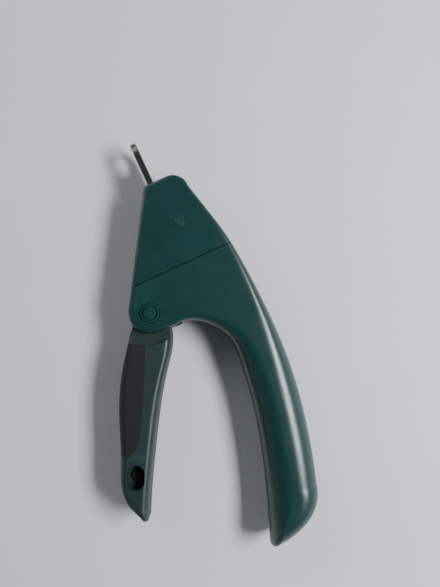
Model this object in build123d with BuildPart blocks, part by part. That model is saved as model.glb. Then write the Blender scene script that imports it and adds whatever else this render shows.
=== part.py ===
"""A pet nail trimmer of the guillotine kind: squeezing the lever slides a flat blade up through a nail ring.

It lies on its side: +Z is its thickness, the ring points towards +Y and both handles hang towards -Y.
Most places are measured from the pivot. Front is the face that looks up, rear the one on the table.
"""

import os
from math import cos, radians, sin

from build123d import *

# ---------------------------------------------------------------- driving sizes, in millimetres
PIVOT_X = -27.5  # the lever's pivot, from the middle of the object's box
PIVOT_Y = 10.44
HALF = 10.0  # half the thickness of the housing
WALL = 2.4  # of the housing and the nose cover
FIT = 0.2  # gap round what slides or slips in
TURN_FIT = 0.05  # gap round what turns on a shaft
HEAD_TILT = 25.0  # the blade's way leans this far from +Y towards -X, in degrees
SWING = 27.0  # how far the lever turns when squeezed, in degrees

BLADE_LINE = 22.1  # from the pivot, square to the blade's way
ARM = 2 * BLADE_LINE / (1 + cos(radians(SWING / 2)))  # pivot to drive pin
SEAM = 12.1  # where the nose cover meets the housing, along the blade's way
SEAM_GAP = 0.35
SPIGOT = 7.0  # how far the housing reaches into the nose cover
SPIGOT_WALL = 1.6
NOSE_TOP = 48.9

RING_WIDTH = 13.0
GUIDE_WIDTH = 14.8
RING_TIP = 69.4
NAIL_HOLE = 9.0
LEAF = 0.9  # each leaf of the ring guide, and the slot between them
BLADE_THICK = 0.8
BLADE_WIDTH = 9.8
BLADE_BELOW_HOLE = 0.8
BLADE_FOOT = 3.4

CORE_THICK = 2.4
LEVER_HALF = 8.6  # half the thickness of the lever's grip
NECK_HALF = 7.2  # and of its neck, which goes in between the housing's cheeks
NECK_RADIUS = 6.6
NECK_REACH = 12.8  # pivot to where the lever gets its full thickness
GRIP_WALL = 2.0  # thickness of the rubber
PIVOT_RADIUS = 3.0
PIN_RADIUS = 1.8
BUTTON_RADIUS = 3.9
BUTTON_GROOVE = (2.6, 3.2, 0.45)  # inner and outer radius, and depth
BUTTON_THICK = 1.3

CARRIER_WIDTH = 6.0
CARRIER_HALF = 5.0
CHEEK_GAP = 1.8  # half the fork's opening, for the lever's arm

WIRE = 0.45  # radius of the return spring's wire
COIL_RADIUS = 4.4
COIL_TURNS = 4
COIL_PITCH = 0.95
COIL_FOOT = 1.8  # mid-thickness to the first turn
SPRING_POCKET = 5.4

SHELL_SCREWS = [(0.5, 11.5), (36.5, 4.0), (52.0, -38.0), (57.4, -74.0)]
COVER_SCREWS = [(6.4, 15.8), (35.0, 15.8)]  # across and along the blade's way
LEVER_SCREW = (-4.9, -64.9)
LEVER_RECESS = (9.7, 6.9)  # the oval round its head
SCREW_RADIUS = 1.2
SCREW_HEAD = 2.3
SCREW_HEAD_THICK = 1.0
BOSS = 2.8

PIN_AT_REST = ARM * sin(radians(-SWING / 2))  # along the blade's way
STROKE = 2 * ARM * sin(radians(SWING / 2))
HOLE_AT = RING_TIP - RING_WIDTH / 2
BLADE_EDGE = HOLE_AT - NAIL_HOLE / 2 - BLADE_BELOW_HOLE
GUIDE_FOOT = SEAM + SPIGOT + FIT
ARM_ANGLE = HEAD_TILT - SWING / 2

# The planes that everything is drawn on, all through the middle of the thickness.
mid = Plane((PIVOT_X, PIVOT_Y, HALF))
head = Plane(mid.origin, x_dir=(cos(radians(HEAD_TILT)), sin(radians(HEAD_TILT)), 0), z_dir=(0, 0, 1))
# x along the blade's way, y through the thickness
blade_plane = Plane(mid.origin + head.x_dir * BLADE_LINE, x_dir=head.y_dir, z_dir=head.x_dir)

# Outline points: x, y, the way in to the crest in degrees, how far in the crest lies, and how square the
# flank is: 2 is an ellipse, 5 nearly upright.
NOSE_CORNER = [(-3.6, 49.9, -20, 3.0, 5), (-3.0, 52.0, -42, 3.3, 5), (-1.2, 53.1, -60, 3.0, 5)]
NOSE_SHOULDER = [(5.9, 56.4, -65, 2.7, 5), (11.3, 56.6, -100, 3.0, 5), (15.2, 52.8, 214, 2.9, 5)]
OUTER_EDGE = [
    (15.2, 52.8, 214, 2.9, 5),
    (22.5, 43.4, 217, 3.0, 5),
    (30.0, 33.6, 214, 3.3, 4.5),
    (39.8, 17.3, 209, 4.3, 3.6),
    (48.5, 0.3, 205, 6.2, 2.8),
    (56.0, -17.3, 201, 8.2, 2.3),
    (61.6, -35.4, 195, 9.0, 2.1),
    (65.4, -53.4, 190, 9.2, 2.1),
    (67.5, -68.7, 181, 9.1, 2.1),
]
HANDLE_END = [
    (67.5, -68.7, 181, 9.1, 2.1),
    (66.5, -79.3, 152, 8.4, 2.1),
    (61.0, -86.6, 118, 7.8, 2.1),
    (51.5, -92.9, 74, 9.4, 2.1),
]
HANDLE_TIP = [(51.5, -92.9, 74, 9.4, 2.1), (49.5, -93.4, 67, 10.0, 2.1), (48.4, -91.6, 60.7, 9.4, 2.1)]
THROAT = [
    (48.4, -91.6, 60.7, 9.4, 2.1),
    (47.4, -75.0, 4, 9.4, 2.1),
    (45.2, -55.5, 9, 9.6, 2.1),
    (41.6, -36.8, 13, 9.6, 2.1),
    (37.5, -22.5, 20, 9.0, 2.3),
    (32.6, -11.0, 36, 7.4, 2.7),
    (25.8, -5.4, 62, 5.4, 3.4),
    (17.6, -2.9, 90, 4.0, 4.2),
    (10.2, -5.1, 108, 3.0, 5),
]
HUB = [
    (10.2, -5.1, 108, 3.0, 5),
    (6.0, -6.5, 108, 2.7, 5),
    (1.9, -8.0, 100, 2.7, 5),
    (-2.9, -8.0, 74, 2.7, 5),
    (-6.8, -5.6, 43, 2.7, 5),
    (-8.7, -1.8, 17, 2.7, 5),
    (-9.0, 1.5, -4, 2.7, 5),
]
HOUSING_RIM = [
    (ThreePointArc, NOSE_CORNER),
    (Line, [NOSE_CORNER[-1], NOSE_SHOULDER[0]]),
    (ThreePointArc, NOSE_SHOULDER),
    (Spline, OUTER_EDGE),
    (Spline, HANDLE_END),
    (ThreePointArc, HANDLE_TIP),
    (Spline, THROAT),
    (Spline, HUB),
    (Line, [HUB[-1], NOSE_CORNER[0]]),
]

LEVER_INNER_EDGE = [
    (8.3, -8.3, 180, 2.6, 3),
    (8.1, -14.6, 187, 2.8, 3),
    (6.1, -23.7, 191, 3.0, 3),
    (3.8, -36.0, 190, 3.2, 3),
    (1.9, -52.3, 186, 3.2, 3),
    (0.4, -68.4, 183, 3.0, 3),
    (-0.3, -82.2, 115, 6.6, 3),
]
LEVER_TIP = [(-0.3, -82.2, 115, 6.6, 3), (-1.0, -83.3, 112, 7.0, 3), (-2.3, -82.6, 108, 6.4, 3)]
LEVER_OUTER_EDGE = [
    (-8.0, -77.2, 30, 3.2, 3),
    (-10.8, -71.8, 10, 3.2, 3),
    (-12.0, -58.3, -5, 3.6, 2.6),
    (-12.9, -42.1, 0, 3.8, 2.5),
    (-12.3, -26.1, 6, 3.6, 2.6),
    (-9.7, -13.3, 14, 3.0, 3),
    (-8.1, -7.3, 14, 2.6, 3),
]
LEVER_RIM = [
    (Spline, LEVER_INNER_EDGE),
    (ThreePointArc, LEVER_TIP),
    (Line, [LEVER_TIP[-1], LEVER_OUTER_EDGE[0]]),
    (Spline, LEVER_OUTER_EDGE),
    (Line, [LEVER_OUTER_EDGE[-1], LEVER_INNER_EDGE[0]]),
]
# The rubber pad's edge, seen from the front, drawn past the lever's outer edge.
GRIP_EDGE = [(-20, -11.2), (-1.7, -12.9), (-2.0, -28), (-3.2, -47), (-4.6, -53.5), (-7.4, -56.8), (-20, -57)]

LEVEL_SHARES = (0, 0.35, 0.6, 0.8, 0.92, 0.98, 1)


def at_level(points, share, wall):
    """The outline points at this share of the way from mid-thickness to the crest, a wall's thickness in."""
    placed = []
    for x, y, angle, depth, squareness in points:
        sunk = 1 - (1 - share**squareness) ** (1 / squareness)
        inward = wall + max(depth - wall, 0.2) * sunk * (1 if wall == 0 else 0.94)
        placed.append((x + inward * cos(radians(angle)), y + inward * sin(radians(angle))))
    return placed


def rounded_half(rim, half_thick, wall=0.0):
    """The upper half of a body with rounded edges, or of the hollow that leaves this wall in it."""
    with BuildPart() as half:
        for share in LEVEL_SHARES:
            with BuildSketch(mid.offset(share * (half_thick - wall))):
                with BuildLine():
                    for curve, points in rim:
                        curve(*at_level(points, share, wall))
                make_face()
        loft()
    return half.part


def beyond(along, depth=HALF + 1):
    """A block above mid-thickness that holds everything past this point of the blade's way."""
    with BuildPart() as block:
        with BuildSketch(head):
            with Locations((0, along)):
                Rectangle(160, 70, align=(Align.CENTER, Align.MIN))
        extrude(amount=depth)
    return block.part


def tapered_bar(start, start_radius, end, end_radius, half_thick):
    """A flat bar with round ends, wider at one end than at the other, both ways from mid-thickness."""
    with BuildPart() as bar:
        with BuildSketch(mid):
            with BuildSketch(mode=Mode.PRIVATE) as ends:
                with Locations(start):
                    Circle(start_radius)
                with Locations(end):
                    Circle(end_radius)
            make_hull(ends.edges())
        extrude(amount=half_thick, both=True)
    return bar.part


def flip(part):
    """The same thing on the rear side."""
    return mirror(part, about=mid)


def screws(places, seat, length):
    """Cross-head screws put in from the rear: the head is seated this far behind mid-thickness."""
    with BuildPart() as group:
        with BuildSketch(mid.offset(-seat - SCREW_HEAD_THICK)):
            with Locations(*places):
                Circle(SCREW_HEAD)
        extrude(amount=SCREW_HEAD_THICK)
        fillet(group.faces().sort_by(Axis.Z)[: len(places)].edges(), 0.4)
        with BuildSketch(mid.offset(-seat)):
            with Locations(*places):
                Circle(SCREW_RADIUS)
        extrude(amount=length)
        with BuildSketch(mid.offset(-seat - SCREW_HEAD_THICK)):
            with Locations(*places):
                Rectangle(2.6, 0.5)
                Rectangle(0.5, 2.6)
        extrude(amount=0.6, mode=Mode.SUBTRACT)
    return group.part


def finish(block, name):
    """Labels a finished piece and writes it."""
    block.part.label = name
    export_step(block.part, f"parts/{name}.step")


def on_head(across, along):
    """A place given across and along the blade's way, as x and y from the pivot."""
    tilt = radians(HEAD_TILT)
    return (across * cos(tilt) - along * sin(tilt), across * sin(tilt) + along * cos(tilt))


os.makedirs("parts", exist_ok=True)

housing = rounded_half(HOUSING_RIM, HALF)
hollow = rounded_half(HOUSING_RIM, HALF, WALL)
spigot_outside = rounded_half(HOUSING_RIM, HALF, WALL + FIT)
spigot_inside = rounded_half(HOUSING_RIM, HALF, WALL + FIT + SPIGOT_WALL)
lever_blank = rounded_half(LEVER_RIM, LEVER_HALF)
lever_under_grip = rounded_half(LEVER_RIM, LEVER_HALF, GRIP_WALL)

# ---------------------------------------------------------------- what both halves of the housing share
CHANNEL_HALF = CARRIER_WIDTH / 2 + FIT
RIB = 1.4
CHANNEL_MIDDLE = 1.6
CHANNEL_LENGTH = 21.6
POCKET_HALF = NECK_HALF + FIT
SWEEP_RADIUS = 13.2  # the lever's shoulders turn inside this
SPIGOT_BOSS = 2.6

with BuildPart() as spigot:
    add(spigot_outside)
    add(housing & beyond(SEAM - 3) - beyond(SEAM))
    add(spigot_inside, mode=Mode.SUBTRACT)
    with BuildSketch(head.offset(1.0)):
        with Locations(*COVER_SCREWS):
            Circle(SPIGOT_BOSS)
    extrude(amount=HALF - WALL - FIT - 1.0)
    add(beyond(SEAM - 3) - beyond(SEAM + SPIGOT), mode=Mode.INTERSECT)

with BuildPart() as shell_half:
    add(housing)
    add(hollow, mode=Mode.SUBTRACT)
    with BuildSketch(mid):
        with Locations(*SHELL_SCREWS):
            Circle(BOSS)
    extrude(amount=HALF - 1)
    # the channel that the blade's carrier slides in
    with BuildSketch(head.offset(CHEEK_GAP + 0.8)):
        with Locations((BLADE_LINE, CHANNEL_MIDDLE)):
            Rectangle(2 * (CHANNEL_HALF + RIB), CHANNEL_LENGTH)
    extrude(amount=HALF - CHEEK_GAP - 1.8)
    with BuildSketch(head):
        with Locations((BLADE_LINE, CHANNEL_MIDDLE)):
            Rectangle(2 * CHANNEL_HALF, CHANNEL_LENGTH)
    extrude(amount=CARRIER_HALF + FIT, mode=Mode.SUBTRACT)
    add(beyond(SEAM), mode=Mode.SUBTRACT)
    add(spigot.part)
    # room for the lever's neck, and the sweep of its shoulders
    with BuildSketch(mid):
        Circle(NECK_RADIUS + 0.5)
        with BuildLine():
            sweep_edge = CenterArc((0, 0), SWEEP_RADIUS, -160, 154)
            Polyline(sweep_edge @ 1, (0, 0), sweep_edge @ 0)
        make_face()
    extrude(amount=POCKET_HALF, mode=Mode.SUBTRACT)

# ---------------------------------------------------------------- housing, front
SPRING_TOP = COIL_FOOT + COIL_TURNS * COIL_PITCH

with BuildPart() as front_shell:
    add(shell_half.part)
    # post that the return spring's upper leg bears on
    with BuildSketch(mid.offset(SPRING_TOP - 1.2)):
        with Locations((-COIL_RADIUS - WIRE - 0.9, 7.6)):
            Rectangle(1.6, 2.0)
    extrude(amount=HALF - 1 - SPRING_TOP + 1.2)
    with BuildSketch(mid):
        with Locations(*SHELL_SCREWS):
            Circle(SCREW_RADIUS)
    extrude(amount=5.2, mode=Mode.SUBTRACT)
    with BuildSketch(mid):
        Circle(PIVOT_RADIUS)
    extrude(amount=HALF + 1, mode=Mode.SUBTRACT)
    with BuildSketch(mid.offset(HALF - BUTTON_THICK - 0.1)):
        Circle(BUTTON_RADIUS + FIT)
    extrude(amount=HALF, mode=Mode.SUBTRACT)
finish(front_shell, "front_shell")

# ---------------------------------------------------------------- housing, rear
SHELL_SCREW_SEAT = 5.6
PIVOT_SCREW_SEAT = HALF - 1.2

with BuildPart() as rear_shell:
    add(flip(shell_half.part))
    with BuildSketch(mid):
        with Locations(*SHELL_SCREWS):
            Circle(SCREW_RADIUS + 0.15)
        Circle(SCREW_RADIUS + 0.15)
    extrude(amount=-HALF - 1, mode=Mode.SUBTRACT)
    with BuildSketch(mid.offset(-SHELL_SCREW_SEAT)):
        with Locations(*SHELL_SCREWS):
            Circle(SCREW_HEAD + 0.2)
    extrude(amount=-HALF, mode=Mode.SUBTRACT)
    with BuildSketch(mid.offset(-PIVOT_SCREW_SEAT)):
        Circle(SCREW_HEAD + 0.3)
    extrude(amount=-HALF, mode=Mode.SUBTRACT)
    with BuildSketch(head):
        with Locations(*COVER_SCREWS):
            Circle(SCREW_RADIUS)
    extrude(amount=-HALF, mode=Mode.SUBTRACT)
finish(rear_shell, "rear_shell")

# ---------------------------------------------------------------- nose cover
COVER_SCREW_SEAT = HALF - 1.1
STUD = (25.5, 29.2)  # a low round stud on the front, across and along the blade's way
STUD_RADIUS = 3.1
STUD_RIM = 0.12  # its upright edge
STUD_CROWN = 0.25  # how much higher its middle stands
stud_ball = (STUD_RADIUS**2 + STUD_CROWN**2) / (2 * STUD_CROWN)
RIB_TOP = NOSE_TOP - WALL - 0.5

with BuildPart() as nose_half:
    add(housing)
    add(hollow, mode=Mode.SUBTRACT)
    # ribs that hold the ring guide's edges, from the spigot up to the nose
    with BuildSketch(head.offset(GUIDE_WIDTH / 2 - 0.9)):
        with Locations(*[(BLADE_LINE + side * (1.5 * LEAF + FIT + RIB / 2), RIB_TOP) for side in (-1, 1)]):
            Rectangle(RIB, RIB_TOP - GUIDE_FOOT, align=(Align.CENTER, Align.MAX))
    extrude(amount=HALF - GUIDE_WIDTH / 2)
    add(beyond(SEAM + SEAM_GAP), mode=Mode.INTERSECT)

stud_plane = Plane(head.from_local_coords(Vector(*STUD, HALF - 0.5)))
stud = extrude(stud_plane * Circle(STUD_RADIUS), amount=2) & Pos(
    head.from_local_coords(Vector(*STUD, HALF + STUD_RIM + STUD_CROWN - stud_ball))
) * Sphere(stud_ball)

with BuildPart() as head_cover:
    add(nose_half.part)
    add(flip(nose_half.part))
    # the ring guide comes out of this slot
    with BuildSketch(blade_plane):
        with Locations((NOSE_TOP, 0)):
            Rectangle(8, RING_WIDTH + 2 * FIT)
    extrude(amount=1.5 * LEAF + FIT, both=True, mode=Mode.SUBTRACT)
    with BuildSketch(head):
        with Locations(*COVER_SCREWS):
            Circle(SCREW_RADIUS + 0.15)
    extrude(amount=-HALF - 1, mode=Mode.SUBTRACT)
    with BuildSketch(head.offset(-COVER_SCREW_SEAT)):
        with Locations(*COVER_SCREWS):
            Circle(SCREW_HEAD + 0.2)
    extrude(amount=-HALF, mode=Mode.SUBTRACT)
    add(stud)
finish(head_cover, "head_cover")

# ---------------------------------------------------------------- ring guide: two steel leaves, closed at the sides
SHOULDER = NOSE_TOP - WALL - 1.4
SLOT_END = BLADE_EDGE + STROKE + 0.6
SIDES_OPEN = HOLE_AT + 3.4  # past here the blade's corners stand out of the ring's round end

with BuildPart() as ring_guide:
    with BuildSketch(blade_plane):
        with Locations((HOLE_AT, 0)):
            Circle(RING_WIDTH / 2)
        with Locations((HOLE_AT, 0)):
            Rectangle(HOLE_AT - SHOULDER + 1, RING_WIDTH, align=(Align.MAX, Align.CENTER))
        with Locations((SHOULDER, 0)):
            Rectangle(SHOULDER - GUIDE_FOOT, GUIDE_WIDTH, align=(Align.MAX, Align.CENTER))
        with Locations((HOLE_AT, 0)):
            Circle(NAIL_HOLE / 2, mode=Mode.SUBTRACT)
    extrude(amount=1.5 * LEAF, both=True)
    tip_edges = ring_guide.edges().filter_by(GeomType.CIRCLE)
    fillet([edge for edge in tip_edges if edge.radius > NAIL_HOLE / 2 + 0.1], 0.5)
    with BuildSketch(blade_plane):
        with Locations((SLOT_END, 0)):
            Rectangle(SLOT_END - SIDES_OPEN, GUIDE_WIDTH + 1, align=(Align.MAX, Align.CENTER))
        with Locations((SIDES_OPEN, 0)):
            Rectangle(SIDES_OPEN - GUIDE_FOOT + 1, BLADE_WIDTH + 2 * FIT, align=(Align.MAX, Align.CENTER))
    extrude(amount=LEAF / 2, both=True, mode=Mode.SUBTRACT)
finish(ring_guide, "ring_guide")

# ---------------------------------------------------------------- blade, with its ground edge
BLADE_SCREW_AT = 6.0

with BuildPart() as blade:
    with BuildSketch(blade_plane):
        with Locations((BLADE_EDGE, 0)):
            Rectangle(BLADE_EDGE - BLADE_FOOT, BLADE_WIDTH, align=(Align.MAX, Align.CENTER))
        with Locations((BLADE_SCREW_AT, 0)):
            Circle(1.05, mode=Mode.SUBTRACT)
    extrude(amount=BLADE_THICK / 2, both=True)
    with BuildSketch(Plane(blade_plane.origin, x_dir=head.y_dir, z_dir=(0, 0, -1))):
        with BuildLine():
            Polyline(
                (BLADE_EDGE + 0.1, -BLADE_THICK / 2 + 0.1),
                (BLADE_EDGE + 0.1, BLADE_THICK / 2 + 0.1),
                (BLADE_EDGE - 2.2, BLADE_THICK / 2 + 0.1),
                (BLADE_EDGE - 2.2, BLADE_THICK / 2),
                close=True,
            )
        make_face()
    extrude(amount=BLADE_WIDTH, both=True, mode=Mode.SUBTRACT)
finish(blade, "blade")

# ---------------------------------------------------------------- carrier: a fork for the drive pin, with the blade on it
CARRIER_FOOT = PIN_AT_REST - 3.2
CARRIER_TOP = 8.4
FORK_DEPTH = 5.0  # past the pin
SIDE_PLAY = ARM * (1 - cos(radians(SWING / 2))) / 2

with BuildPart() as blade_carrier:
    with BuildSketch(head):
        with Locations((BLADE_LINE, CARRIER_FOOT)):
            Rectangle(CARRIER_WIDTH, CARRIER_TOP - CARRIER_FOOT, align=(Align.CENTER, Align.MIN))
    extrude(amount=CARRIER_HALF, both=True)
    fillet(blade_carrier.edges().filter_by(Axis.Z), 0.6)
    with BuildSketch(head):
        with Locations((BLADE_LINE, CARRIER_FOOT - 1)):
            Rectangle(
                CARRIER_WIDTH + 1, PIN_AT_REST + FORK_DEPTH - CARRIER_FOOT + 1, align=(Align.CENTER, Align.MIN)
            )
    extrude(amount=CHEEK_GAP, both=True, mode=Mode.SUBTRACT)
    with BuildSketch(head):
        with Locations((BLADE_LINE, PIN_AT_REST)):
            SlotOverall(2 * (PIN_RADIUS + 0.1 + SIDE_PLAY + 0.1), 2 * (PIN_RADIUS + 0.1))
    extrude(amount=CARRIER_HALF + 1, both=True, mode=Mode.SUBTRACT)
    with BuildSketch(head):
        with Locations((BLADE_LINE + BLADE_THICK / 2, BLADE_FOOT)):
            Rectangle(10, 20, align=(Align.MAX, Align.MIN))
    extrude(amount=CARRIER_HALF + 1, both=True, mode=Mode.SUBTRACT)
    with BuildSketch(blade_plane):
        with Locations((BLADE_SCREW_AT, 0)):
            Circle(1.0)
    extrude(amount=CARRIER_WIDTH, mode=Mode.SUBTRACT)
finish(blade_carrier, "blade_carrier")

with BuildPart() as blade_screw:
    with BuildSketch(blade_plane.offset(-BLADE_THICK / 2 - 1.0)):
        with Locations((BLADE_SCREW_AT, 0)):
            Circle(1.9)
    extrude(amount=1.0)
    chamfer(blade_screw.edges().filter_by(GeomType.CIRCLE), 0.25)
    with BuildSketch(blade_plane.offset(-BLADE_THICK / 2)):
        with Locations((BLADE_SCREW_AT, 0)):
            Circle(1.0)
    extrude(amount=CARRIER_WIDTH / 2)
finish(blade_screw, "blade_screw")

# ---------------------------------------------------------------- lever: a steel core between two plastic covers
CORE_HUB = 5.6
CORE_END = (-4.8, -68.0)
CORE_BEND = (-3.9, -28.0)
arm_end = (ARM * cos(radians(ARM_ANGLE)), ARM * sin(radians(ARM_ANGLE)))


def core_blank(grow=0.0):
    """The lever's steel core without its holes, or the room for it."""
    with BuildPart() as blank:
        add(tapered_bar((0, 0), 4.4 + grow, arm_end, 3.1 + grow, CORE_THICK / 2))
        add(tapered_bar((0, 0), CORE_HUB + grow, CORE_BEND, 3.4 + grow, CORE_THICK / 2))
        add(tapered_bar(CORE_BEND, 3.4 + grow, CORE_END, 3.0 + grow, CORE_THICK / 2))
    return blank.part


with BuildPart() as lever_core:
    add(core_blank())
    with BuildSketch(mid):
        Circle(PIVOT_RADIUS + TURN_FIT)
        with Locations(arm_end):
            Circle(PIN_RADIUS)
        with Locations(LEVER_SCREW):
            Circle(SCREW_RADIUS + 0.15)
    extrude(amount=CORE_THICK, both=True, mode=Mode.SUBTRACT)
finish(lever_core, "lever_core")

with BuildPart() as drive_pin:
    with BuildSketch(mid):
        with Locations(arm_end):
            Circle(PIN_RADIUS)
    extrude(amount=CARRIER_HALF - 0.1, both=True)
    chamfer(drive_pin.edges().filter_by(GeomType.CIRCLE), 0.3)
finish(drive_pin, "drive_pin")

with BuildPart() as grip_space:
    with BuildSketch(mid):
        with BuildLine():
            Polyline(*GRIP_EDGE, close=True)
        make_face()
    extrude(amount=HALF, both=True)

with BuildPart() as neck_clearance:
    with BuildSketch(mid.offset(NECK_HALF)):
        Circle(NECK_REACH)
    extrude(amount=HALF)

with BuildPart() as lever_half:
    add(lever_blank)
    with BuildSketch(mid):
        Circle(NECK_RADIUS)
        with BuildLine():
            Polyline((-6.3, -2.0), (-7.8, -7.7), (-9.1, -12.9), (7.8, -12.9), (7.9, -7.7), (6.3, -2.0), close=True)
        make_face()
    extrude(amount=NECK_HALF)
    add(neck_clearance.part, mode=Mode.SUBTRACT)

with BuildPart() as lever_grip:
    add(lever_half.part)
    add(flip(lever_half.part))
    add(lever_under_grip, mode=Mode.SUBTRACT)
    add(flip(lever_under_grip), mode=Mode.SUBTRACT)
    add(grip_space.part, mode=Mode.INTERSECT)
finish(lever_grip, "lever_grip")

core_room = core_blank(0.1)
with BuildPart() as lever_cover_half:
    add(lever_half.part)
    add(lever_grip.part, mode=Mode.SUBTRACT)
    add(core_room, mode=Mode.SUBTRACT)
    with BuildSketch(mid):
        Circle(PIVOT_RADIUS + TURN_FIT)
    extrude(amount=HALF, mode=Mode.SUBTRACT)

LEVER_SCREW_SEAT = 3.6
WINDOW_START = 90  # the spring's upper leg comes out here, in degrees
WINDOW_ANGLE = 67

with BuildPart() as lever_front_cover:
    add(lever_cover_half.part)
    with BuildSketch(mid):
        Circle(SPRING_POCKET)
        with Locations((-COIL_RADIUS, -7.0)):
            SlotOverall(14.6, 1.4, rotation=90)
    extrude(amount=COIL_FOOT + 0.7, mode=Mode.SUBTRACT)
    with BuildSketch(mid):
        Circle(SPRING_POCKET)
    extrude(amount=SPRING_TOP + 0.7, mode=Mode.SUBTRACT)
    with BuildSketch(mid.offset(SPRING_TOP - 0.8)):
        with BuildLine():
            window_edge = CenterArc((0, 0), NECK_RADIUS + 1, WINDOW_START, WINDOW_ANGLE)
            Polyline(window_edge @ 1, (0, 0), window_edge @ 0)
        make_face()
    extrude(amount=1.5, mode=Mode.SUBTRACT)
    with BuildSketch(mid):
        with Locations(LEVER_SCREW):
            Circle(SCREW_RADIUS + 0.15)
    extrude(amount=HALF, mode=Mode.SUBTRACT)
    with BuildSketch(mid.offset(LEVER_SCREW_SEAT)):
        with Locations(LEVER_SCREW):
            SlotOverall(*LEVER_RECESS, rotation=90)
    extrude(amount=HALF, mode=Mode.SUBTRACT)
finish(lever_front_cover, "lever_front_cover")

with BuildPart() as lever_rear_cover:
    add(flip(lever_cover_half.part))
    with BuildSketch(mid):
        with Locations(LEVER_SCREW):
            Circle(SCREW_RADIUS)
    extrude(amount=-5.6, mode=Mode.SUBTRACT)
finish(lever_rear_cover, "lever_rear_cover")

# ---------------------------------------------------------------- pivot, spring and screws
with BuildPart() as pivot_sleeve:
    with BuildSketch(mid.offset(-HALF + WALL)):
        Circle(PIVOT_RADIUS)
    extrude(amount=2 * HALF - WALL - BUTTON_THICK - 0.1)
    with BuildSketch(mid.offset(HALF - BUTTON_THICK - 0.1)):
        Circle(BUTTON_RADIUS)
    extrude(amount=BUTTON_THICK)
    chamfer(pivot_sleeve.edges().sort_by(Axis.Z)[-1], 0.25)
    with BuildSketch(mid.offset(HALF - 0.1)):
        Circle(BUTTON_GROOVE[1])
        Circle(BUTTON_GROOVE[0], mode=Mode.SUBTRACT)
    extrude(amount=-BUTTON_GROOVE[2], mode=Mode.SUBTRACT)
    with BuildSketch(mid.offset(-HALF + WALL)):
        Circle(SCREW_RADIUS)
    extrude(amount=10, mode=Mode.SUBTRACT)
finish(pivot_sleeve, "pivot_sleeve")

with BuildPart() as pivot_washers:
    for side in (-1, 1):
        with BuildSketch(mid.offset(side * (NECK_HALF + FIT) - 0.15)):
            Circle(5.0)
            Circle(PIVOT_RADIUS + TURN_FIT, mode=Mode.SUBTRACT)
        extrude(amount=0.3)
finish(pivot_washers, "pivot_washers")

SPRING_LEGS = [(COIL_FOOT, -1, 12.6), (SPRING_TOP, 1, 7.8)]  # height, which way along Y, length
coil_start = Plane(mid.offset(COIL_FOOT).origin, x_dir=(-1, 0, 0), z_dir=(0, 0, 1))

with BuildPart() as return_spring:
    with BuildLine(coil_start) as coil_line:
        Helix(COIL_PITCH, COIL_PITCH * COIL_TURNS, COIL_RADIUS, lefthand=True)
    with BuildSketch(Plane(coil_line.line @ 0, z_dir=coil_line.line % 0)):
        Circle(WIRE)
    sweep(path=coil_line.line, is_frenet=True)
    for height, way, length in SPRING_LEGS:
        leg_start = mid.from_local_coords(Vector(-COIL_RADIUS, 0, height))
        with BuildSketch(Plane(leg_start, z_dir=(0, way, 0))):
            Circle(WIRE)
        extrude(amount=length)
        with Locations(leg_start):
            Sphere(WIRE)
finish(return_spring, "return_spring")

shell_screws = screws(SHELL_SCREWS, SHELL_SCREW_SEAT, SHELL_SCREW_SEAT + 5.0)
cover_screws = screws([on_head(*place) for place in COVER_SCREWS], COVER_SCREW_SEAT, COVER_SCREW_SEAT - 1.6)
pivot_screw = screws([(0, 0)], PIVOT_SCREW_SEAT, PIVOT_SCREW_SEAT + 1.0)
lever_screw = flip(screws([LEVER_SCREW], LEVER_SCREW_SEAT, LEVER_SCREW_SEAT + 5.2))
for name, part in (
    ("shell_screws", shell_screws),
    ("cover_screws", cover_screws),
    ("pivot_screw", pivot_screw),
    ("lever_screw", lever_screw),
):
    part.label = name
    export_step(part, f"parts/{name}.step")

print("stroke", round(STROKE, 3), "mm, ratio", round(STROKE / 1000 / radians(SWING), 6), "m/rad")
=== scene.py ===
"""Looks of the guillotine nail trimmer: green ABS housing and lever, rubber pad, steel ring, plain studio.

It lies on its side as the frame has it: +Z is its thickness and the ring points towards +Y.
"""

from math import pi, radians

import bpy
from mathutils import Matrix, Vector


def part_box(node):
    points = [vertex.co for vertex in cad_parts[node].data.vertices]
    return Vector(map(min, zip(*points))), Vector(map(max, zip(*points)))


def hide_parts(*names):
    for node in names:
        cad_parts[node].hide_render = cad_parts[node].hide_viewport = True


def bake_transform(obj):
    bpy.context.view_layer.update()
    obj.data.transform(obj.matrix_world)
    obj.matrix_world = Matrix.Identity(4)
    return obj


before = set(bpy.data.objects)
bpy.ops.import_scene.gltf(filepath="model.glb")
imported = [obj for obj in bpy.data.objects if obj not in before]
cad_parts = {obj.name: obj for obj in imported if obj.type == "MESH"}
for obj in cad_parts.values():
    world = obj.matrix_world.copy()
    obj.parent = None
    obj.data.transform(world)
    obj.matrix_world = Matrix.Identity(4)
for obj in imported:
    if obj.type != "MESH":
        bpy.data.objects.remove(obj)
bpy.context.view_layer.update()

MM = 0.001
sleeve_low, sleeve_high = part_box("pivot_sleeve")
halves_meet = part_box("front_shell")[0].z
pivot = Vector(((sleeve_low.x + sleeve_high.x) / 2, (sleeve_low.y + sleeve_high.y) / 2, halves_meet))
HEAD_TILT = radians(25)  # the ring and the blade lean this far from +Y towards -X


# ---------------------------------------------------------------- materials
def linear(code):
    """A colour written as sRGB hex, as linear RGBA."""
    channels = [int(code[i : i + 2], 16) / 255 for i in (1, 3, 5)]
    return (*[c / 12.92 if c <= 0.04045 else ((c + 0.055) / 1.055) ** 2.4 for c in channels], 1.0)


def add_node(tree, kind, sockets=None, **settings):
    """One shader node, with its settings, and its sockets linked or set."""
    made = tree.nodes.new(kind)
    for name, value in settings.items():
        setattr(made, name, value)
    for name, value in (sockets or {}).items():
        if isinstance(value, bpy.types.NodeSocket):
            tree.links.new(value, made.inputs[name])
        else:
            made.inputs[name].default_value = value
    return made


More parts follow.
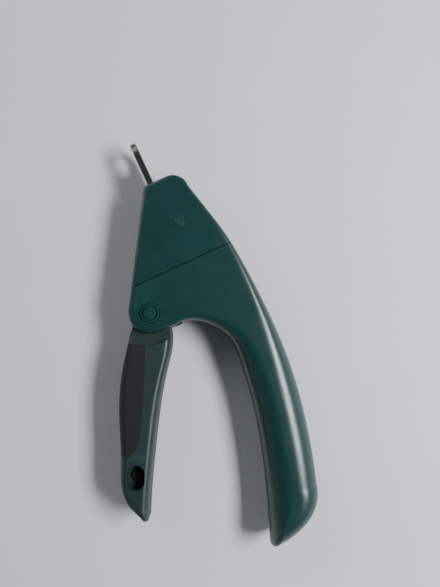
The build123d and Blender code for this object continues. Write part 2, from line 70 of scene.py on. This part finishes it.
def new_material(name, **uniform):
    """An empty material, with its Principled shader, its node tree and its Object coordinates."""
    material = bpy.data.materials.new(name)
    material.use_nodes = True
    tree = material.node_tree
    shader = tree.nodes["Principled BSDF"]
    for socket, value in uniform.items():
        shader.inputs[socket.replace("_", " ")].default_value = value
    return material, tree, shader, add_node(tree, "ShaderNodeTexCoord").outputs["Object"]


def per_metre(size_mm):
    """A texture's scale for features of this size."""
    return 1 / (size_mm * MM)


def mixed(tree, amount, first, second):
    """A colour between two, by a texture's value."""
    blend = add_node(tree, "ShaderNodeMix", {"Factor": amount}, data_type="RGBA")
    for index, colour in ((6, first), (7, second)):
        if isinstance(colour, bpy.types.NodeSocket):
            tree.links.new(colour, blend.inputs[index])
        else:
            blend.inputs[index].default_value = linear(colour)
    return blend.outputs[2]


def span(tree, value, low, high, start=0.0, end=1.0):
    """A texture's value, from start to end, spread from low to high."""
    spread = add_node(
        tree,
        "ShaderNodeMapRange",
        {"Value": value, "From Min": start, "From Max": end, "To Min": low, "To Max": high},
    )
    return spread.outputs["Result"]


def painted_edge_highlight(tree, start, end):
    """0 on flat faces and 1 on sharp convex edges, where a painted highlight lightens the colour."""
    bent = add_node(tree, "ShaderNodeNewGeometry").outputs["Pointiness"]
    return span(tree, bent, 0.0, 1.0, start, end)


def moulded_abs(name, light, dark, edge_highlight_colour, grain_mm, roughness, relief_strength):
    """ABS from a spark-eroded mould: a fine pebble breaks the gloss, over a colour that is faintly cloudy
    from the melt's flow and paler on its sharp edges, a painted highlight."""
    material, tree, shader, place = new_material(name, IOR=1.54)
    clouds = add_node(tree, "ShaderNodeTexNoise", {"Vector": place, "Scale": per_metre(22), "Detail": 3.0})
    flowed = mixed(tree, clouds.outputs["Fac"], dark, light)
    # the sharp edges are painted paler: a painted highlight on the edges
    rubbed = mixed(tree, painted_edge_highlight(tree, 0.53, 0.62), flowed, edge_highlight_colour)
    tree.links.new(rubbed, shader.inputs["Base Color"])
    # the pebble is drawn about twice as coarse as the mould's, so that it shows
    pebble = add_node(
        tree, "ShaderNodeTexNoise", {"Vector": place, "Scale": per_metre(grain_mm), "Detail": 2.0}
    )
    smears = add_node(tree, "ShaderNodeTexNoise", {"Vector": place, "Scale": per_metre(9), "Detail": 4.0})
    gloss = add_node(
        tree,
        "ShaderNodeMath",
        {
            0: span(tree, pebble.outputs["Fac"], -0.05, 0.05),
            1: span(tree, smears.outputs["Fac"], -0.06, 0.06),
        },
        operation="ADD",
    )
    total = add_node(tree, "ShaderNodeMath", {0: gloss.outputs[0], 1: roughness}, operation="ADD")
    tree.links.new(total.outputs[0], shader.inputs["Roughness"])
    relief = add_node(
        tree,
        "ShaderNodeBump",
        {"Height": pebble.outputs["Fac"], "Strength": relief_strength, "Distance": 0.06 * MM},
    )
    tree.links.new(relief.outputs["Normal"], shader.inputs["Normal"])
    return material


def moulded_rubber(name, light, dark):
    """Soft thermoplastic rubber from a matt mould: nearly black, dull, with a leathery grain
    that holds dust."""
    material, tree, shader, place = new_material(name, IOR=1.42, Sheen_Weight=0.04, Sheen_Roughness=0.5)
    cells = add_node(
        tree, "ShaderNodeTexVoronoi", {"Vector": place, "Scale": per_metre(0.7)}, feature="SMOOTH_F1"
    )
    dust = add_node(tree, "ShaderNodeTexNoise", {"Vector": place, "Scale": per_metre(7), "Detail": 5.0})
    tree.links.new(mixed(tree, dust.outputs["Fac"], dark, light), shader.inputs["Base Color"])
    tree.links.new(span(tree, dust.outputs["Fac"], 0.58, 0.78), shader.inputs["Roughness"])
    relief = add_node(
        tree,
        "ShaderNodeBump",
        {"Height": cells.outputs["Distance"], "Strength": 0.3, "Distance": 0.08 * MM},
    )
    tree.links.new(relief.outputs["Normal"], shader.inputs["Normal"])
    return material


def brushed_metal(name, light, dark, roughness, line_mm, turned=0.0, relief_strength=0.25):
    """Metal finished with an abrasive belt: fine lines along one direction that draw highlights out
    across them."""
    material, tree, shader, place = new_material(name, Metallic=1.0, Anisotropic=0.45)
    along = add_node(tree, "ShaderNodeMapping", {"Vector": place, "Rotation": (0, 0, -turned)})
    stretched = add_node(
        tree, "ShaderNodeMapping", {"Vector": along.outputs["Vector"], "Scale": (1.0, 0.04, 1.0)}
    )
    # belt lines are a few hundredths of a millimetre wide and are drawn several times as coarse
    lines = add_node(
        tree,
        "ShaderNodeTexNoise",
        {"Vector": stretched.outputs["Vector"], "Scale": per_metre(line_mm), "Detail": 3.0},
    )
    tree.links.new(mixed(tree, lines.outputs["Fac"], dark, light), shader.inputs["Base Color"])
    rough = span(tree, lines.outputs["Fac"], roughness - 0.08, roughness + 0.1)
    tree.links.new(rough, shader.inputs["Roughness"])
    relief = add_node(
        tree,
        "ShaderNodeBump",
        {"Height": lines.outputs["Fac"], "Strength": relief_strength, "Distance": 0.02 * MM},
    )
    tree.links.new(relief.outputs["Normal"], shader.inputs["Normal"])
    return material


def zinc_plate(name, light, dark, roughness):
    """Bright zinc on steel: a bluish grey with a soft mottled haze from the plating bath."""
    material, tree, shader, place = new_material(name, Metallic=1.0)
    haze = add_node(tree, "ShaderNodeTexNoise", {"Vector": place, "Scale": per_metre(0.9), "Detail": 4.0})
    tree.links.new(mixed(tree, haze.outputs["Fac"], dark, light), shader.inputs["Base Color"])
    tree.links.new(
        span(tree, haze.outputs["Fac"], roughness - 0.08, roughness + 0.12), shader.inputs["Roughness"]
    )
    return material


def milky_nylon(name, light, dark):
    """Natural nylon: off-white, waxy, and light goes a little way in."""
    material, tree, shader, place = new_material(
        name, IOR=1.53, Subsurface_Weight=0.2, Subsurface_Scale=0.6 * MM, Subsurface_Radius=(1.0, 0.9, 0.7)
    )
    wax = add_node(tree, "ShaderNodeTexNoise", {"Vector": place, "Scale": per_metre(4), "Detail": 3.0})
    tree.links.new(mixed(tree, wax.outputs["Fac"], dark, light), shader.inputs["Base Color"])
    tree.links.new(span(tree, wax.outputs["Fac"], 0.38, 0.52), shader.inputs["Roughness"])
    return material


# the third colour of each green ABS is the painted highlight on its sharp edges
FINISHES = (
    (
        moulded_abs("moulded_abs_green", "#0b3130", "#072827", "#1d4642", 0.5, 0.33, 0.3),
        ("front_shell", "rear_shell", "head_cover"),
    ),
    (moulded_abs("polished_abs_green", "#0b3130", "#082928", "#1d4642", 0.8, 0.27, 0.08), ("pivot_sleeve",)),
    (
        moulded_abs("moulded_abs_lever_green", "#0f2829", "#0a1f20", "#1f3c3b", 0.5, 0.48, 0.3),
        ("lever_front_cover", "lever_rear_cover"),
    ),
    (moulded_rubber("moulded_grip_rubber", "#0d0c14", "#08070e"), ("lever_grip",)),
    # the ring's steel is painted darker than the blade's steel: painted shade
    (
        brushed_metal("brushed_stainless_painted_shade", "#7f7a75", "#5f5a56", 0.36, 0.22, HEAD_TILT),
        ("ring_guide",),
    ),
    (brushed_metal("ground_blade_steel", "#c4c3c1", "#a6a5a4", 0.22, 0.15, HEAD_TILT - pi / 2), ("blade",)),
    (
        brushed_metal("pressed_plate_steel", "#9b9a98", "#7e7d7c", 0.42, 0.3, 0.0, 0.4),
        ("lever_core", "drive_pin"),
    ),
    (
        zinc_plate("bright_zinc_on_steel", "#b9bcc2", "#95989f", 0.34),
        ("pivot_screw", "shell_screws", "cover_screws", "blade_screw"),
    ),
    (zinc_plate("black_oxide_on_steel", "#4a4542", "#2e2a28", 0.42), ("lever_screw",)),
    (milky_nylon("natural_nylon", "#d5d0c2", "#c6c0b0"), ("blade_carrier", "pivot_washers")),
)
for finish, nodes in FINISHES:
    for node in nodes:
        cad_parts[node].data.materials.clear()
        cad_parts[node].data.materials.append(finish)


# ---------------------------------------------------------------- return spring, wound on screw lines
WIRE = 0.45 * MM
COIL_RADIUS = 4.4 * MM
COIL_TURNS = 4
COIL_FOOT = halves_meet + 1.8 * MM
WIRE_SIDES = 14
STEPS_PER_TURN = 56
HAIR = 0.001 * MM  # closer than this is the same place
spring_low, spring_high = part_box("return_spring")
COIL_TOP = spring_high.z - WIRE
spring_wire = brushed_metal("drawn_spring_wire", "#8a8a8c", "#6b6b6e", 0.3, 0.2, 0.0)


def wound_spring():
    """One wire: a leg, the turns, and the other leg, drawn out from the two ends of the coil."""
    bpy.ops.object.select_all(action="DESELECT")
    bpy.ops.mesh.primitive_circle_add(
        vertices=WIRE_SIDES, radius=WIRE, location=(-COIL_RADIUS, 0, 0), rotation=(pi / 2, 0, 0)
    )
    wire = bpy.context.object
    wire.name = "return_spring_wire"
    bpy.ops.object.transform_apply(location=True, rotation=True, scale=True)
    winding = wire.modifiers.new("winding", "SCREW")
    winding.axis = "Z"
    winding.angle = -2 * pi
    winding.iterations = COIL_TURNS
    winding.screw_offset = (COIL_TOP - COIL_FOOT) / COIL_TURNS
    winding.steps = winding.render_steps = STEPS_PER_TURN
    bpy.ops.object.modifier_apply(modifier=winding.name)
    legs = ((0.0, spring_low.y - pivot.y), (COIL_TOP - COIL_FOOT, spring_high.y - pivot.y))
    for height, reach in legs:
        bpy.ops.object.mode_set(mode="EDIT")
        bpy.ops.mesh.select_all(action="DESELECT")
        bpy.ops.object.mode_set(mode="OBJECT")
        for vertex in wire.data.vertices:
            on_plane = abs(vertex.co.y) < 2 * HAIR and vertex.co.x < 0
            vertex.select = on_plane and abs(vertex.co.z - height) < WIRE + HAIR
        bpy.ops.object.mode_set(mode="EDIT")
        bpy.ops.mesh.select_mode(type="VERT")
        bpy.ops.mesh.extrude_region_move(TRANSFORM_OT_translate={"value": (0, reach, 0)})
        bpy.ops.mesh.edge_face_add()
        bpy.ops.object.mode_set(mode="OBJECT")
    bpy.ops.object.mode_set(mode="EDIT")
    bpy.ops.mesh.select_all(action="SELECT")
    bpy.ops.mesh.remove_doubles(threshold=HAIR)
    bpy.ops.mesh.normals_make_consistent(inside=False)
    bpy.ops.object.mode_set(mode="OBJECT")
    wire.location = (pivot.x, pivot.y, COIL_FOOT)
    bpy.ops.object.transform_apply(location=True, rotation=True, scale=True)
    bpy.ops.object.shade_smooth_by_angle(angle=radians(50))
    return wire


spring = wound_spring()
spring.data.materials.append(spring_wire)
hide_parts("return_spring")
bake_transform(spring)

# ---------------------------------------------------------------- camera, light and floor
VIEW_TILT = 4.06  # degrees from straight down
camera_data = bpy.data.cameras.new("camera")
camera_data.lens = 30.66
camera_data.sensor_width = 36.0
camera = bpy.data.objects.new("camera", camera_data)
camera.location = (pivot.x + 28.14 * MM, pivot.y - 6.37 * MM, 219.65 * MM)
camera.rotation_euler = (radians(VIEW_TILT), 0, 0)
bpy.context.scene.collection.objects.link(camera)
bpy.context.scene.camera = camera


def soft_light(name, place, size, watts, colour=(1, 1, 1)):
    """A rectangular studio lamp at a place in metres, turned to the object."""
    lamp_data = bpy.data.lights.new(name, "AREA")
    lamp_data.shape = "RECTANGLE"
    lamp_data.size, lamp_data.size_y = size
    lamp_data.energy = watts
    lamp_data.color = colour
    lamp = bpy.data.objects.new(name, lamp_data)
    lamp.location = place
    lamp.rotation_euler = Vector(place).to_track_quat("Z", "Y").to_euler()
    bpy.context.scene.collection.objects.link(lamp)


soft_light("key", (0.43, 0.02, 0.47), (0.36, 0.14), 7.6)
soft_light("fill", (-0.42, 0.42, 0.3), (0.6, 0.45), 1.8)

bpy.ops.object.select_all(action="DESELECT")
bpy.ops.mesh.primitive_plane_add(size=3, location=(0, 0, 0))
floor = bpy.context.object
floor.name = "studio_floor"
# uncoated white paper: matt and very faintly uneven
floor_paper, floor_tree, floor_shader, floor_place = new_material("uncoated_studio_paper", Roughness=0.9)
fibres = add_node(floor_tree, "ShaderNodeTexNoise", {"Vector": floor_place, "Scale": per_metre(40)})
floor_tree.links.new(
    mixed(floor_tree, fibres.outputs["Fac"], "#c6c4cc", "#cbcad1"), floor_shader.inputs["Base Color"]
)
floor.data.materials.append(floor_paper)

# a studio with pale walls and a dim ceiling, so that level faces stay deep and the sides catch some light
world = bpy.data.worlds.new("studio")
world.use_nodes = True
walls = world.node_tree.nodes["Background"]
walls.inputs["Color"].default_value = linear("#f6f7ff")
gaze = add_node(world.node_tree, "ShaderNodeTexCoord").outputs["Generated"]
upward = add_node(world.node_tree, "ShaderNodeSeparateXYZ", {"Vector": gaze}).outputs["Z"]
world.node_tree.links.new(span(world.node_tree, upward, 0.62, 0.08, 0.0, 0.75), walls.inputs["Strength"])
bpy.context.scene.world = world
